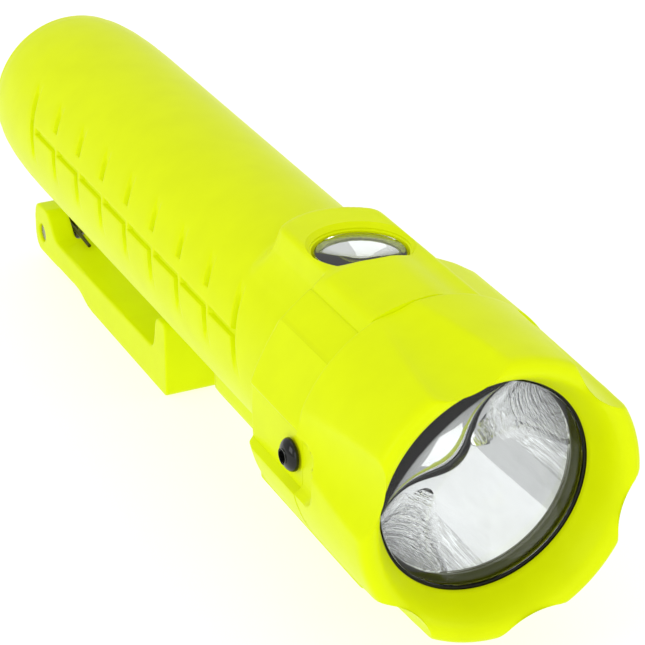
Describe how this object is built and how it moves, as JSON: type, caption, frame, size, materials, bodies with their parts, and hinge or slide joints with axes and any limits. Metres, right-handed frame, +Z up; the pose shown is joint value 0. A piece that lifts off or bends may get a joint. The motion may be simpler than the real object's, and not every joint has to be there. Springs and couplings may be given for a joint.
{
  "type": "flashlight",
  "caption": "Safety flashlight in high-visibility polymer: round grip body, scalloped bezel with deep reflector, side flood window, sprung belt clip and a locking screw.",
  "frame": {"origin": "bottom centre of the bounding box, on the outer flat of the clip lever that the flashlight lies on", "axes": "+Y from the lens towards the tail, so the main beam leaves along -Y; +Z up through the flood window; X across the tube"},
  "size_m": [0.0462, 0.18, 0.0547],
  "materials": {
    "shell": "satin moulded polymer, high-visibility yellow-green",
    "clear": "polished clear polycarbonate",
    "rubber": "matt black rubber",
    "mirror": "vacuum-metallised mirror",
    "alu": "turned",
    "ceramic": "white solder mask",
    "phosphor": "silicone over yellow phosphor",
    "board": "green solder mask",
    "carrier": "moulded black",
    "cell": "printed foil sleeve over a steel can, aluminium-like mean density",
    "nickel": "nickel plated",
    "wire": "PVC insulation",
    "module": "moulded black",
    "steel": "black oxide spring steel",
    "screw": "glossy black"
  },
  "bodies": {
    "body": {"body_tube": "shell", "flood_lens": "clear", "neck_o_ring": "rubber", "flood_gasket": "rubber", "flood_reflector": "mirror", "heat_sink": "alu", "led_board": "ceramic", "led_emitter": "phosphor", "flood_led": "phosphor", "flood_board": "board", "circuit_board": "board", "battery_carrier": "carrier", "cell_1": "cell", "cell_2": "cell", "cell_3": "cell", "cell_4": "cell", "contact_plate_rear": "nickel", "contact_plate_front": "nickel", "tail_spring": "nickel", "led_wire_left": "wire", "led_wire_right": "wire", "flood_wire_left": "wire", "flood_wire_right": "wire", "switch_module": "module", "switch_ring": "module", "clip_pin": "steel"},
    "head": {"bezel": "shell", "front_lens": "clear", "lens_gasket": "rubber", "reflector": "mirror"},
    "clip": {"clip_lever": "shell", "clip_spring": "steel"},
    "switch": {"switch_boot": "rubber"},
    "lock": {"lock_screw": "screw"}
  },
  "joints": [
    {"name": "clip_hinge", "type": "hinge", "parent": "body", "child": "clip", "pos_m": [0, 0.0819, 0.0055], "axis": [1, 0, 0], "range_deg": [0, 18], "stiffness_Nm_per_rad": 0.8, "springref_deg": -17.19},
    {"name": "switch_press", "type": "slide", "parent": "body", "child": "switch", "axis": [0, -1, 0], "range_m": [0, 0.0015], "stiffness_N_per_m": 1500, "springref_m": -0.001},
    {"name": "bezel_draw", "type": "slide", "parent": "body", "child": "head", "axis": [0, -1, 0], "range_m": [0, 0.012]},
    {"name": "lock_screw_draw", "type": "slide", "parent": "body", "child": "lock", "axis": [-1, 0, 0], "range_m": [0, 0.003]}
  ]
}
